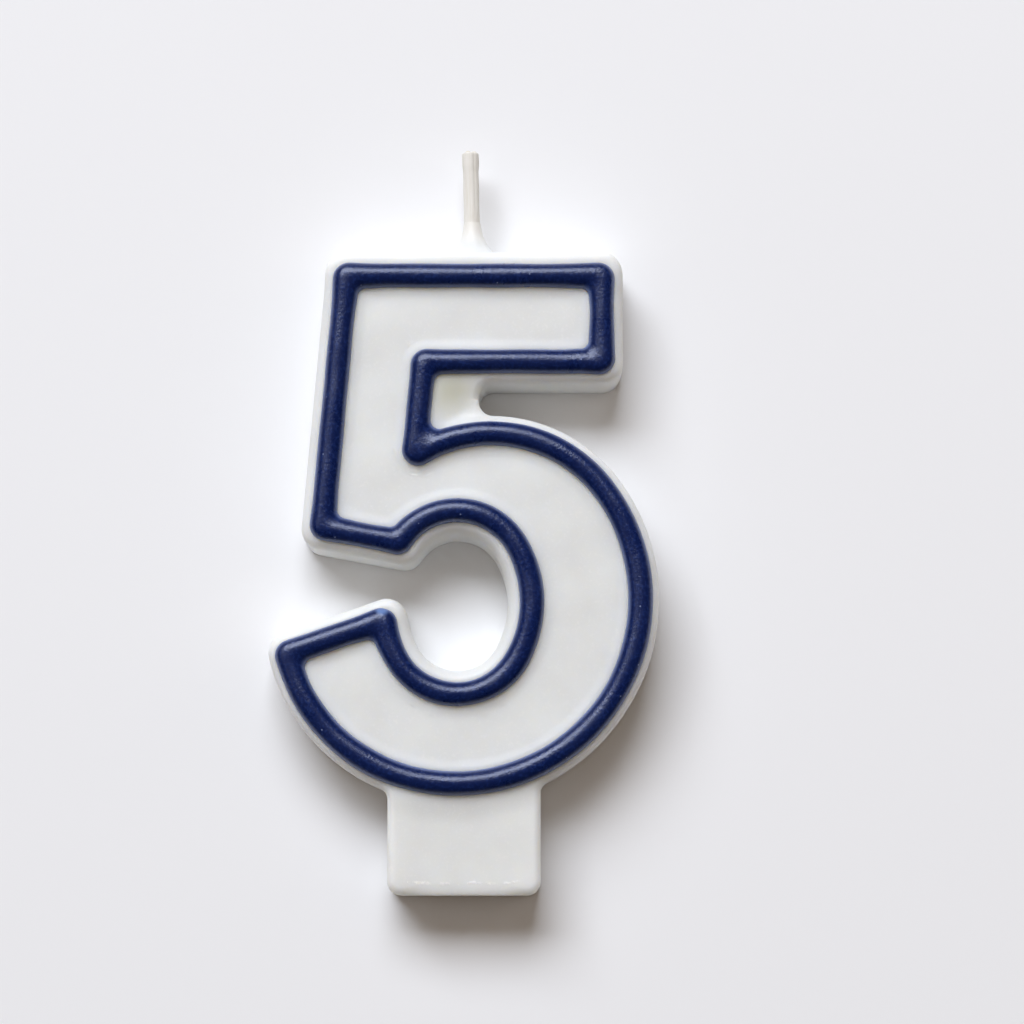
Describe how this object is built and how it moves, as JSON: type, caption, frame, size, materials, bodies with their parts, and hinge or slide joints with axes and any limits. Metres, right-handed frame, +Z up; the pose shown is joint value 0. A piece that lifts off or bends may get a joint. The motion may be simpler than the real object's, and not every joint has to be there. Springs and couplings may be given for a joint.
{
  "type": "numeral birthday candle",
  "caption": "Flat wax candle in the shape of the numeral five, with a raised navy outline, a sunk white panel, a foot peg for the cake and a short waxed wick.",
  "frame": {"origin": "centre of the end face of the foot peg, in the middle of the casting's thickness", "axes": "+Z up along the candle to its wick, the front face with the raised outline toward -Y, +X to the right seen from the front"},
  "size_m": [0.0454, 0.01, 0.088],
  "materials": {
    "white_wax": "satin milky paraffin wax, slightly translucent",
    "navy_wax": "satin navy wax coat with a fine grain",
    "cotton": "bleached cotton plies",
    "wick_wax": "thin clear to white priming wax over cotton"
  },
  "bodies": {
    "root": {"numeral_body": "white_wax", "outline_coat": "navy_wax", "wick_ply_1": "cotton", "wick_ply_2": "cotton", "wick_ply_3": "cotton", "wick_wax_sleeve": "wick_wax"}
  },
  "joints": []
}
